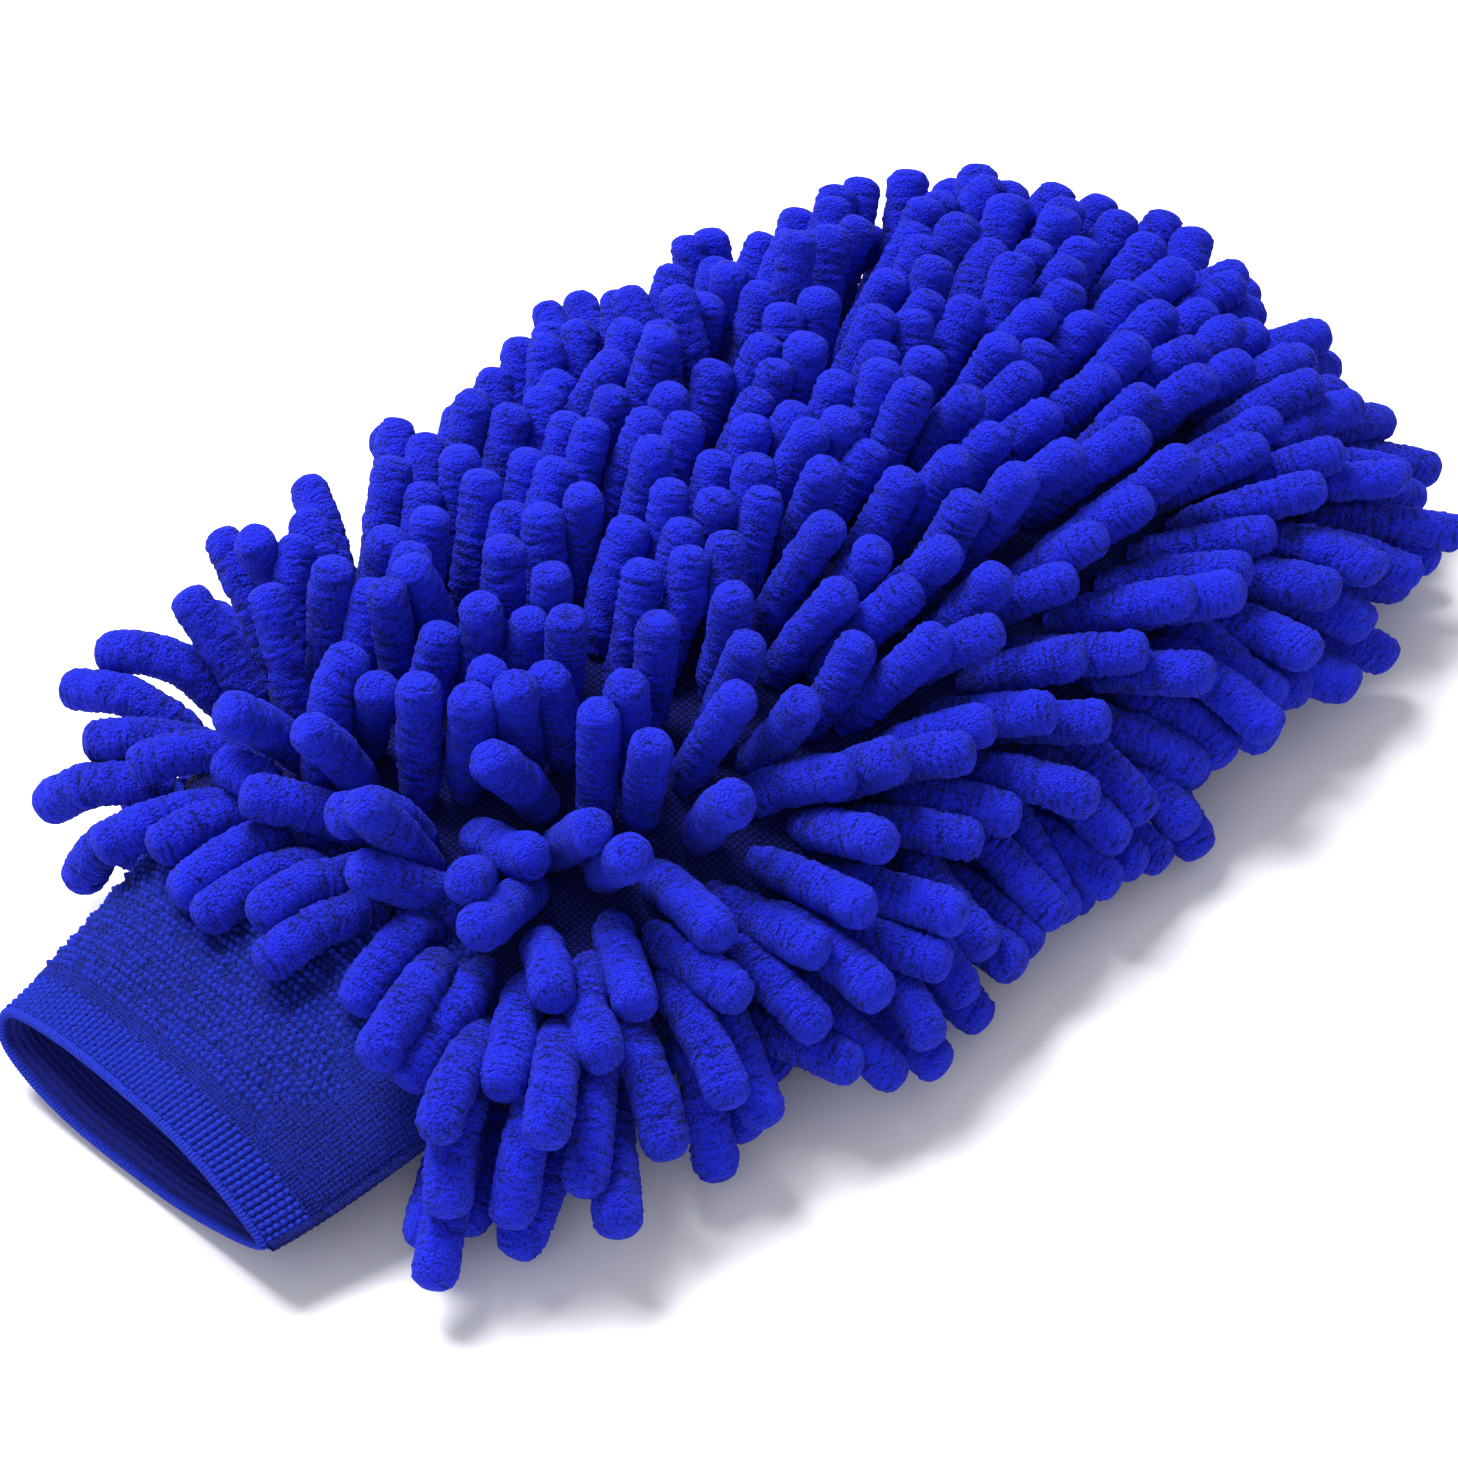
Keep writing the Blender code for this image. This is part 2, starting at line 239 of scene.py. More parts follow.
def cuff_share(y):
    """0 at the cuff seam, 1 at the rim."""
    return np.clip((CUFF_SEAM_Y - y) / CUFF_LENGTH, 0.0, 1.0)


def centre_height(y):
    return mix(EDGE_HEIGHT, RIM_HEIGHT, smooth(cuff_share(y)))


def cuff_half_width(y):
    return mix(*CUFF_HALF_WIDTH, cuff_share(y))


def cuff_half_height(y):
    return mix(*CUFF_HALF_HEIGHT, cuff_share(y))


def half_width(y):
    on_bag = HALF_WIDTH * squircle((y - MID_Y) / BAG_HALF, OUTLINE_EXPONENT)
    return np.where(y < CUFF_SEAM_Y, cuff_half_width(y), on_bag)


def bulge(y, middle):
    """How far a panel stands from the sewn edge's height: middle at the palm."""
    towards_tip = middle * np.sqrt(np.maximum(0.0, 1 - ((y - MID_Y) / BAG_HALF) ** 4))
    towards_cuff = mix(middle, CUFF_HALF_HEIGHT[0], smooth((MID_Y - y) / (MID_Y - CUFF_SEAM_Y)))
    on_bag = np.where(y > MID_Y, towards_tip, towards_cuff)
    return np.where(y < CUFF_SEAM_Y, cuff_half_height(y), on_bag)


def shoulder(x, y):
    """How far towards -Y the bag's slack corners sit, beside the cuff."""
    corner = smooth((np.abs(x) - SHOULDER_START) / SHOULDER_WIDTH)
    drop = mix(*SHOULDER_DROP, smooth(0.5 + x / (2 * HALF_WIDTH)))
    return drop * corner * (1 - smooth((y - CUFF_SEAM_Y + SHOULDER_PAST_SEAM) / SHOULDER_LENGTH))


def side_bulge(y, side):
    return bulge(y, BAG_RISE if side > 0 else BAG_DROP)


def arch(wide, high, shares):
    """Points (x, z) at these shares of the length of the arch from -wide over high to wide."""
    across = np.sin(np.pi * (np.linspace(0, 1, 201) - 0.5))
    x = wide * across
    z = high * np.sqrt(np.maximum(0.0, 1 - np.abs(across) ** FULLNESS))
    along = np.concatenate([[0.0], np.cumsum(np.hypot(np.diff(x), np.diff(z)))])
    targets = np.asarray(shares) * along[-1]
    return np.interp(targets, along, x), np.interp(targets, along, z)


def outside_bag(points, clearance):
    """Below 0 within the clearance of the bag or cuff, above 0 outside it."""
    x, y, z = points.T
    y = y + shoulder(x, y)
    up = z - centre_height(y)
    high = np.where(up > 0, bulge(y, BAG_RISE), bulge(y, BAG_DROP)) + clearance
    return (np.abs(x) / (half_width(y) + clearance)) ** FULLNESS + (up / high) ** 2 - 1


def slope_of(points, clearance, value):
    nudge = 0.05 * MM
    slopes = []
    for axis in range(3):
        moved = points.copy()
        moved[:, axis] += nudge
        slopes.append((outside_bag(moved, clearance) - value) / nudge)
    return np.stack(slopes, axis=1)


# Chenille: where each finger is sewn on and how it would stand alone


def row_path(side, row):
    """Points along the sewn line of one row, on the bag's surface."""
    start = CUFF_SEAM_Y - 6.0 * MM
    end = BAG_TIP_Y - 1.5 * MM
    stations = end - (end - start) * np.linspace(1, 0, 160) ** 1.6
    share = (row + 0.5) / ROWS
    points = []
    for y in stations:
        x, z = arch(half_width(y), side_bulge(y, side), [share])
        points.append((x[0], y - shoulder(x[0], y), centre_height(y) + side * z[0]))
    return np.array(points)


def sew_roots():
    """Where each finger is sewn on: an array of points, and the side and row of each."""
    roots, places = [], []
    for side in (1, -1):
        strands = [(row, strand) for row in range(ROWS) for strand in STRANDS[side]]
        for row, strand in sorted(strands, key=lambda n: abs(n[0] - (ROWS - 1) / 2)):
            path = row_path(side, row + strand)
            steps = np.linalg.norm(np.diff(path, axis=0), axis=1)
            along = np.concatenate([[0.0], np.cumsum(steps)])
            spacing = ROOT_SPACING[side]
            at = spacing * (0.1 + 0.5 * (row % 2) + 0.5 * (strand > 0))
            while at < along[-1]:
                where = at + rng.normal(0, 0.9 * MM)
                point = np.array([np.interp(where, along, path[:, axis]) for axis in range(3)])
                point[0] += rng.normal(0, 0.6 * MM)
                gaps = np.linalg.norm(np.array(roots or [(9, 9, 9)]) - point, axis=1)
                if gaps.min() > ROOT_CLEARANCE:
                    roots.append(point)
                    places.append((side, row))
                at += spacing
    return np.array(roots), np.array(places)


def outward_of(across, along, at_cuff):
    """The direction from the bag's middle to each finger, seen from above."""
    power = mix(2.6, 1.3, at_cuff)
    sideways = np.sign(across) * np.abs(across) ** power
    lengthways = np.sign(along) * np.abs(along) ** power
    outward = np.stack([sideways, lengthways], axis=1)
    outward[:, 0] *= 1 + 0.9 * at_cuff * (across < -0.35)
    return unit(outward + 1e-6)


def tilt_of(side, across, edge, near, corner, at_cuff, y):
    """Each finger's angle from upright, in radians: fallen on the near side, loose at the cuff."""
    upright = 8 * edge + 16 * edge**3
    fallen = 24 * edge + 80 * edge**2 + 12 * edge**6
    tilt = np.where(side > 0, mix(upright, fallen, near), 150 - 55 * edge)
    over = smooth((CUFF_SEAM_Y + 9 * MM - y) / (8 * MM))
    standing = rng.uniform(*STANDING_ANGLES, len(across))
    lying = rng.uniform(*LYING_ANGLES, len(across))
    loose = mix(standing, lying, np.maximum(corner, over))
    loose = np.where(side > 0, loose, 92 + 0.12 * loose)
    return np.radians(mix(tilt, loose, at_cuff * 0.9))


def aim_fingers(roots, places):
    """The direction of each finger at its root, before its neighbours push it."""
    side = places[:, 0]
    x, y = roots[:, 0], roots[:, 1]
    along = (y - MID_Y) / BAG_HALF
    across = x / HALF_WIDTH
    outline = np.abs(across) ** OUTLINE_EXPONENT + np.abs(along) ** OUTLINE_EXPONENT
    edge = outline ** (1 / OUTLINE_EXPONENT)
    at_cuff = 1 - smooth((y - CUFF_SEAM_Y) / CUFF_ZONE)
    at_tip = smooth((y - BAG_TIP_Y + TIP_ZONE_START) / TIP_ZONE_LENGTH)
    near = smooth(0.5 + 0.8 * across)
    corner = smooth((np.abs(across) - 0.35) / 0.3)
    outward = outward_of(across, along, at_cuff)
    tilt = tilt_of(side, across, edge, near, corner, at_cuff, y)
    comb = (COMB + near * (0.5 * edge - 0.88 * edge**3)) * (1 - at_cuff) * (1 - 0.2 * at_tip)
    aim = np.zeros_like(roots)
    aim[:, :2] = outward * np.sin(tilt)[:, None]
    aim[:, 2] = np.cos(tilt)
    aim[:, 1] += comb
    wildness = mix(0.11 + 0.14 * edge**4, mix(0.34, 0.16, corner), at_cuff)
    aim += rng.normal(0, 1, aim.shape) * wildness[:, None]
    return unit(aim), edge, at_cuff


def free_shapes(roots, aim, edge, at_cuff, side, segment):
    """Each finger's points as it would stand alone: straight at the root, then drooping and curling."""
    droop = mix(0.05, 0.42, edge**4) + at_cuff * rng.uniform(0.0, 1.1, len(roots))
    droop = np.where(side < 0, 0.15, droop)
    curl = rng.normal(0, 0.16, roots.shape)
    shape = [roots]
    for joint in range(1, JOINTS):
        along = joint / (JOINTS - 1)
        heading = aim + curl * along
        heading[:, 2] -= droop * along
        shape.append(shape[-1] + unit(heading) * segment[:, None])
    return np.stack(shape, axis=1)


def near_pairs(points, finger, reach):
    """Index pairs of points of different fingers that are closer than reach, found on a grid of cells."""
    cells = np.floor(points / reach).astype(np.int64)
    cells -= cells.min(axis=0) - 1
    size = cells.max(axis=0) + 2
    key = (cells[:, 0] * size[1] + cells[:, 1]) * size[2] + cells[:, 2]
    order = np.argsort(key, kind="stable")
    ordered = key[order]
    found = []
    for shift in np.ndindex(3, 3, 3):
        a, b, c = (n - 1 for n in shift)
        offset = (a * size[1] + b) * size[2] + c
        if offset < 0:
            continue
        start = np.searchsorted(ordered, key + offset, "left")
        count = np.searchsorted(ordered, key + offset, "right") - start
        first = np.repeat(np.arange(len(key)), count)
        within = np.arange(count.sum()) - np.repeat(np.cumsum(count) - count, count)
        second = order[np.repeat(start, count) + within]
        keep = finger[first] != finger[second]
        if offset == 0:
            keep &= first < second
        found.append(np.stack([first[keep], second[keep]]))
    first, second = np.concatenate(found, axis=1)
    close = np.linalg.norm(points[first] - points[second], axis=1) < reach
    return first[close], second[close]


def push_apart(points, pairs, size, loose):
    """Moves each two points that overlap half of the overlap each, averaged over a point's neighbours."""
    first, second = pairs
    between = points[first] - points[second]
    distance = np.maximum(np.linalg.norm(between, axis=1), 1e-9)
    overlap = size[first] + size[second] - distance
    hit = overlap > 0
    first, second = first[hit], second[hit]
    shift = between[hit] / distance[hit, None] * overlap[hit, None]
    weight = loose[first] + loose[second] + 1e-9
    count = np.bincount(first, minlength=len(points)) + np.bincount(second, minlength=len(points))
    total = np.zeros_like(points)
    for axis in range(3):
        total[:, axis] += np.bincount(first, shift[:, axis] * loose[first] / weight, len(points))
        total[:, axis] -= np.bincount(second, shift[:, axis] * loose[second] / weight, len(points))
    points += PUSH * total / np.maximum(count, 1)[:, None] ** CROWD_POWER


def push_off_bag(points, size):
    value = outside_bag(points, size)
    inside = value < 0
    slope = slope_of(points[inside], size[inside], value[inside])
    slope[:, 1] *= 0.3
    square = np.maximum((slope**2).sum(axis=1), 1.0)
    points[inside] -= slope * (value[inside] / square)[:, None]


def settle_fingers(shape, aim, segment, radius, side):
    """Relaxes the fingers' points until they share the space with each other, the bag and the table."""
    count = len(shape)
    rest = shape.copy()
    bend = rest[:, 2:] - 2 * rest[:, 1:-1] + rest[:, :-2]
    finger = np.repeat(np.arange(count), JOINTS)
    share = np.array([0.30, 0.72] + [COLLISION_SHARE] * (JOINTS - 2))
    squeeze = np.where(side > 0, 1.0, UNDERSIDE_SQUEEZE)
    size = (radius * squeeze)[:, None] * share
    size = size.reshape(-1)
    loose = np.tile([0.0, 0.5] + [1.0] * (JOINTS - 2), count)
    from_bag = np.tile([0.0, 0.55] + [0.95] * (JOINTS - 2), count) * np.repeat(radius, JOINTS)
    shape = shape.copy()
    for step in range(STEPS):
        floor = mix(FLOOR_START, 0.0, min(1.0, 2 * step / STEPS))
        flat = shape.reshape(-1, 3)
        if step % PAIRS_EVERY == 0:
            pairs = near_pairs(flat, finger, NEIGHBOUR_REACH)
        for _ in range(ROUNDS):
            shape[:, 1:] += HOME_PULL * (rest[:, 1:] - shape[:, 1:])
            shape[:, 1] += ROOT_PULL * (shape[:, 0] + aim * segment[:, None] - shape[:, 1])
            for joint in range(2, JOINTS):
                ideal = 2 * shape[:, joint - 1] - shape[:, joint - 2] + bend[:, joint - 2]
                shape[:, joint] += STIFFNESS * (ideal - shape[:, joint])
            push_apart(flat, pairs, size, loose)
            push_off_bag(flat, from_bag)
            low = floor + 0.97 * np.repeat(radius, JOINTS)
            flat[:, 2] = np.maximum(flat[:, 2], np.where(loose > 0.9, low, flat[:, 2]))
            shape[:, 0] = rest[:, 0]
            for joint in range(1, JOINTS):
                heading = unit(shape[:, joint] - shape[:, joint - 1])
                shape[:, joint] = shape[:, joint - 1] + heading * segment[:, None]
    return shape


# Mesh helpers


def lean(points):
    """The bag as it lies: it leans towards -X, and its tip reaches further on the +X side."""
    on_bag = smooth((points[:, 1] - CUFF_SEAM_Y) / LEAN_LENGTH)
    at_tip = smooth((points[:, 1] - MID_Y) / BAG_HALF)
    moved = points.copy()
    moved[:, 0] -= LEAN * on_bag
    moved[:, 1] += at_tip * (TIP_SKEW * points[:, 0] + TIP_STRETCH)
    return moved


def mesh_piece(name, points, polygons, material, replaced, shade_and_tone=None, length=None):
    """A smooth mesh from an array of points and a list of index arrays, one per polygon size."""
    points = lean(points)
    mesh = bpy.data.meshes.new(name)
    mesh.vertices.add(len(points))
    mesh.vertices.foreach_set("co", points.astype(np.float32).ravel())
    corners = np.concatenate([group.ravel() for group in polygons])
    sizes = np.concatenate([np.full(len(group), group.shape[1]) for group in polygons])
    mesh.loops.add(len(corners))
    mesh.loops.foreach_set("vertex_index", corners.astype(np.int32))
    mesh.polygons.add(len(sizes))
    mesh.polygons.foreach_set("loop_start", (np.cumsum(sizes) - sizes).astype(np.int32))
    mesh.update(calc_edges=True)
    mesh.shade_smooth()
    # The first attribute carries painted shade for the colour, with a random tone on the fingers; the
    # second, each point's place along its finger.
    for label, values in (("shade_and_tone", shade_and_tone), ("length", length)):
        if values is not None:
            layer = mesh.attributes.new(label, "FLOAT", "POINT")
            layer.data.foreach_set("value", values.astype(np.float32).ravel())
    mesh.materials.append(material)
    obj = bpy.data.objects.new(name, mesh)
    bpy.context.scene.collection.objects.link(obj)
    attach(obj, BODY)
    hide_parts(*replaced)
    return obj


def grid_quads(rows, columns, closed_rows=False, closed_columns=False):
    """Index quads of a grid of points stored row by row, joined end to start where it is closed."""
    number = np.arange(rows * columns).reshape(rows, columns)
    if closed_rows:
        number = np.vstack([number, number[:1]])
    if closed_columns:
        number = np.hstack([number, number[:, :1]])
    corners = [number[:-1, :-1], number[:-1, 1:], number[1:, 1:], number[1:, :-1]]
    return np.stack([corner.ravel() for corner in corners], axis=1)


# Chenille: the fingers' surface


def ring_profile():
    """Per ring, its place along the finger in the stem and in the cap, and its radius as a share."""
    stem = np.linspace(0, 1, BODY_RINGS)
    turn = np.linspace(0, 0.5 * np.pi, CAP_RINGS + 1)[1:-1]
    width = mix(0.62, 0.93, smooth(stem / 0.22)) + 0.07 * smooth((stem - 0.25) / 0.75)
    cap = (1 - np.sin(turn) ** 2.5) ** (1 / 2.5)
    along = np.concatenate([stem, np.ones_like(turn)])
    into_cap = np.concatenate([np.zeros_like(stem), np.sin(turn)])
    return along, into_cap, np.concatenate([width, cap])


def spline_weights(along):
    """Weights of a Catmull-Rom curve through the joints, with one more point before and after them."""
    weights = np.zeros((len(along), JOINTS + 2))
    for ring, place in enumerate(along * (JOINTS - 1)):
        k = min(int(place), JOINTS - 2)
        t = place - k
        weights[ring, k] = 0.5 * (-t + 2 * t**2 - t**3)
        weights[ring, k + 1] = 0.5 * (2 - 5 * t**2 + 3 * t**3)
        weights[ring, k + 2] = 0.5 * (t + 4 * t**2 - 3 * t**3)
        weights[ring, k + 3] = 0.5 * (-(t**2) + t**3)
    return weights


def ring_frames(tangents):
    """Two directions across each ring, carried along the finger without twist."""
    helper = np.where(np.abs(tangents[:, :1, 2:]) < 0.9, [[[0.0, 0.0, 1.0]]], [[[1.0, 0.0, 0.0]]])
    first = unit(np.cross(tangents[:, 0], helper[:, 0]))
    sides = [first]
    for ring in range(1, tangents.shape[1]):
        tangent = tangents[:, ring]
        carried = sides[-1] - (sides[-1] * tangent).sum(axis=1, keepdims=True) * tangent
        sides.append(unit(carried))
    sides = np.stack(sides, axis=1)
    return sides, np.cross(tangents, sides)


def finger_relief(count, distance, angle):
    """How far the surface stands off a plain finger: lumps, cross wrinkles and crumbs of pile."""
    lumps = np.zeros((count, len(distance), len(angle)))
    for _ in range(LUMP_WAVES):
        turns = rng.integers(0, 4, (count, 1, 1))
        pitch = rng.uniform(5, 14, (count, 1, 1)) * MM
        phase = rng.uniform(0, 2 * np.pi, (count, 1, 1))
        lumps += np.cos(turns * angle + 2 * np.pi * distance[:, None] / pitch + phase)
    pitch = rng.uniform(1.7, 2.6, (count, 1, 1)) * MM
    wobble = np.zeros_like(lumps)
    for turns in (1, 2, 3):
        phase = rng.uniform(0, 2 * np.pi, (count, 1, 1))
        drift = rng.uniform(6, 12, (count, 1, 1)) * MM
        wobble += 1.1 * np.sin(turns * angle + phase + 2 * np.pi * distance[:, None] / drift) / turns
    wrinkles = np.abs(np.sin(np.pi * distance[:, None] / pitch + 0.8 * wobble)) ** 0.6 - 0.75
    depth = rng.uniform(0.12, 0.42, (count, 1, 1)) * (0.75 + 0.45 * np.tanh(wobble))
    crumbs = rng.normal(0, 1, lumps.shape)
    crumbs += 0.5 * (np.roll(crumbs, 1, axis=2) + np.roll(crumbs, -1, axis=2))
    return LUMP_DEPTH * lumps / 1.9 + depth * MM * wrinkles + CRUMB_DEPTH * crumbs


def finger_meshes(shape, radius):
    """Vertices of all fingers as (finger, ring, around), their poles, their painted shade with a random
    tone, and places along the finger.
    """
    count = len(shape)
    along, into_cap, width = ring_profile()
    before = 2 * shape[:, :1] - shape[:, 1:2]
    after = 2 * shape[:, -1:] - shape[:, -2:-1]
    control = np.concatenate([before, shape, after], axis=1)
    centres = np.einsum("rk,nkd->nrd", spline_weights(along), control)
    end = unit(shape[:, -1] - shape[:, -2])
    centres += end[:, None] * (into_cap[None, :, None] * radius[:, None, None])
    tangents = unit(np.gradient(centres, axis=1))
    first, second = ring_frames(tangents)
    angle = np.linspace(0, 2 * np.pi, AROUND, endpoint=False)[None, None, :]
    length = np.linalg.norm(np.diff(shape, axis=1), axis=2).sum(axis=1).mean()
    distance = along * length + into_cap * radius.mean()
    relief = finger_relief(count, distance, angle[0, 0])
    fade = np.minimum(1.0, width * 1.6)[None, :, None]
    reach = radius[:, None, None] * width[None, :, None] + relief * fade
    ring = first[:, :, None] * np.cos(angle)[..., None]
    ring = ring + second[:, :, None] * np.sin(angle)[..., None]
    points = centres[:, :, None] + ring * reach[..., None]
    tip = shape[:, -1] + end * radius[:, None]
    poles = np.stack([shape[:, 0], tip], axis=1)
    # Painted shade: darker at the root and where the relief sinks, lighter towards the tip, plus a random
    # tone for each finger.
    shade_and_tone = np.clip(0.25 + 0.75 * along[None, :, None] + relief / (0.5 * MM), 0, 1)
    shade_and_tone = shade_and_tone + rng.normal(0, 0.10, (count, 1, 1))
    return points, poles, shade_and_tone, np.repeat(distance, AROUND)


def finger_polygons(count):
    """Quads and end triangles for count fingers, each stored as its rings and then its two poles."""
    rings = BODY_RINGS + CAP_RINGS - 1
    quads = grid_quads(rings, AROUND, closed_columns=True)
    ring = np.arange(AROUND)
    following = (ring + 1) % AROUND
    last = (rings - 1) * AROUND
    base = rings * AROUND
    root_fan = np.stack([np.full(AROUND, base), following, ring], axis=1)
    tip_fan = np.stack([np.full(AROUND, base + 1), last + ring, last + following], axis=1)
    step = (np.arange(count) * (base + 2))[:, None, None]
    groups = (quads, np.vstack([root_fan, tip_fan]))
    return [(group[None] + step).reshape(-1, group.shape[1]) for group in groups]


def finger_lengths(roots, aim, edge, at_cuff):
    """Longer where a finger stands at the far edge, lies over the near side or hangs beside the cuff."""
    count = len(roots)
    standing = np.clip(aim[:, 2], 0, 1) * edge**3 * np.where(roots[:, 0] < 0, 1.3, 1.0)
    lying = np.clip(roots[:, 0] / HALF_WIDTH, 0, 1) * np.clip(0.6 - aim[:, 2], 0, 1)
    length = rng.normal(FINGER_LENGTH, LENGTH_SPREAD, count) + MM * (5.0 * standing + 3.5 * lying)
    length += 4.0 * MM * at_cuff * smooth(roots[:, 0] / HALF_WIDTH)
    return np.clip(length, SHORTEST, LONGEST)


def make_row(place, row, points, poles, shade_and_tone, distance, material):
    """One piece of all the fingers of a row."""
    number = len(points)
    rings = points.reshape(number, -1, 3)
    both = np.concatenate([rings, poles], axis=1).reshape(-1, 3)
    both[:, 2] = np.maximum(both[:, 2], LOWEST)
    # The poles get painted shade too: dark at the root, light at the tip.
    ends = np.tile([0.2, 1.0], (number, 1))
    shade = np.concatenate([shade_and_tone.reshape(number, -1), ends], axis=1)
    name = f"chenille_{place}_{row + 1:02d}"
    replaced = f"{place}_chenille_row_{row + 1:02d}"
    polygons = finger_polygons(number)
    mesh_piece(name, both, polygons, material, [replaced], shade, distance)


def make_chenille(material):
    roots, places = sew_roots()
    count = len(roots)
    side = places[:, 0]
    aim, edge, at_cuff = aim_fingers(roots, places)
    length = finger_lengths(roots, aim, edge, at_cuff)
    radius = FINGER_RADIUS * rng.normal(1.0, RADIUS_SPREAD, count)
    segment = (length - radius) / (JOINTS - 1)
    shape = free_shapes(roots, aim, edge, at_cuff, side, segment)
    shape = settle_fingers(shape, aim, segment, radius, side)
    points, poles, shade_and_tone, distance = finger_meshes(shape, radius)
    distance = np.append(distance, [0, distance[-1]])
    offsets = rng.uniform(0, 1, count)
    for place, sign in SIDES.items():
        for row in range(ROWS):
            mine = (side == sign) & (places[:, 1] == row)
            along = distance[None, :] + offsets[mine][:, None]
            make_row(place, row, points[mine], poles[mine], shade_and_tone[mine], along, material)
    print("fingers", count, "triangles", count * 2 * AROUND * (BODY_RINGS + CAP_RINGS))


# Bag


def bag_grid(side, rows, columns, inset, lift):
    """A panel's surface as (station, across) points: lift is how far it stands inside the bag's face."""
    start = CUFF_SEAM_Y - 0.5 * MM + inset
    end = BAG_TIP_Y - 0.3 * MM - inset
    stations = end - (end - start) * np.linspace(1, 0, rows) ** 1.5
    shares = np.linspace(0, 1, columns)
    points = np.zeros((rows, columns, 3))
    for k, y in enumerate(stations):
        x, z = arch(half_width(y) - inset, np.maximum(side_bulge(y, side) - lift, 0.3 * MM), shares)
        points[k, :, 0] = x
        points[k, :, 1] = y - shoulder(x, y)
        points[k, :, 2] = centre_height(y) + side * z
    return points


def grid_normals(points, closed=False):
    if closed:
        around = np.roll(points, -1, axis=1) - np.roll(points, 1, axis=1)
    else:
        around = np.gradient(points, axis=1)
    return unit(np.cross(np.gradient(points, axis=0), around))


def make_backing(place, side, material):
    """A panel's knitted backing, with its wales and courses."""
    rows, columns = ((290, 210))
    points = bag_grid(side, rows, columns, 0.0, 0.0)
    across = np.linspace(0, 1, columns)[None, :]
    along = points[:, :, 1] / BACKING_COURSE
    wales = np.sin(2 * np.pi * across * BACKING_WALES) * WALE_DEPTH
    courses = np.sin(2 * np.pi * along) * COURSE_DEPTH
    normals = grid_normals(points) * side
    if (normals[rows // 2, columns // 2, 2] * side) < 0:
        normals = -normals
    points = points + normals * (wales + courses)[..., None]
    flat = points.reshape(-1, 3)
    quads = grid_quads(rows, columns)
    replaced = f"{place}_backing_panel"
    obj = mesh_piece(f"{place}_backing", flat, [quads], material, [replaced])


def make_lining(place, side, material):
    """A panel's lining, a thin net just inside the backing."""
    rows, columns = ((150, 110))
    points = bag_grid(side, rows, columns, LINING_INSET, LINING_GAP)
    normals = grid_normals(points)
    net = np.sin(np.arange(rows) * NET_TURN)[:, None] * np.sin(np.arange(columns) * NET_TURN)[None, :]
    points = points + normals * (net * NET_DEPTH)[..., None]
    flat = points.reshape(-1, 3)
    quads = grid_quads(rows, columns)
    replaced = f"{place}_lining_panel"
    obj = mesh_piece(f"{place}_lining", flat, [quads], material, [replaced])


def bag_edge(turn, inset):
    """A point of the bag's sewn edge seen from above."""
    power = 2 / OUTLINE_EXPONENT
    across = np.sign(np.cos(turn)) * np.abs(np.cos(turn)) ** power
    along = np.sign(np.sin(turn)) * np.abs(np.sin(turn)) ** power
    return (HALF_WIDTH - inset) * across, MID_Y + (BAG_HALF - inset) * along


def make_seams(material):
    """The overlocked allowance inside the bag, and the stitched ridge that shows along the bag's edge."""
    start = math.asin((CUFF_SEAM_Y + 2 * MM - MID_Y) / BAG_HALF * 0.995)
    turns = np.linspace(start, math.pi - start, 900)
    section = np.linspace(0, 2 * np.pi, 10, endpoint=False)
    stitch = 0.18 * np.sin(np.arange(len(turns)) * 1.1)[:, None]
    for name, inset, wide, high, replaced in (
        ("bag_edge_seam", 0.2 * MM, 0.9 * MM, 1.0 * MM, []),
        ("perimeter_overlock", 4.2 * MM, 2.4 * MM, 0.5 * MM, ["perimeter_overlock_seam"]),
    ):
        x, y = bag_edge(turns, inset)
        path = np.stack([x, y, np.full_like(x, EDGE_HEIGHT)], axis=1)
        tangent = unit(np.gradient(path, axis=0))
        sideways = np.stack([tangent[:, 1], -tangent[:, 0], np.zeros(len(x))], axis=1)
        out = np.cos(section)[None, :] * wide * (1 + stitch)
        up = np.sin(section)[None, :] * high * (1 + stitch)
        points = path[:, None] + sideways[:, None] * out[..., None]
        points[..., 2] += up
        quads = grid_quads(len(turns), len(section), closed_columns=True)
        mesh_piece(name, points.reshape(-1, 3), [quads], material, replaced)


# Cuff


def cuff_section(y, inset, shares):
    """Points (x, z) of the cuff's section at these shares of its length, from its +X side over its top."""
    angle = np.linspace(0, 2 * np.pi, 1441)
    across = np.cos(angle)
    share = cuff_share(y)
    roundness = np.where(across > 0, CORNER_SHARPNESS, FAR_ROUNDNESS) * across
    power = 0.5 + roundness * smooth(share)
    high = np.maximum(0.0, 1 - np.abs(across) ** mix(FULLNESS, 2.0, share)) ** power
    x = (cuff_half_width(y) - inset) * across
    z = (cuff_half_height(y) - inset) * np.sign(np.sin(angle)) * high
    along = np.concatenate([[0.0], np.cumsum(np.hypot(np.diff(x), np.diff(z)))])
    targets = np.asarray(shares) * along[-1]
    return np.interp(targets, along, x), np.interp(targets, along, z)


def cuff_wave(shares, y):
    """Slow unevenness of the slack knit, the same for all its layers."""
    turn = 2 * np.pi * shares
    wave = np.sin(3 * turn + 0.7 + 60 * y) + 0.7 * np.sin(5 * turn + 2.1 - 90 * y)
    return 0.28 * MM * wave * smooth(cuff_share(y) * 2)


def slack_lip(x, z, y):
    """How far the slack lower lip of the cuff slides out past the upper one, most of all on its far side."""
    low = smooth(0.5 - z / (2 * CUFF_HALF_HEIGHT[1]))
    far = smooth(0.5 - x / (2 * CUFF_HALF_WIDTH[1]))
    return LIP_SLACK * low * far * smooth(cuff_share(y))


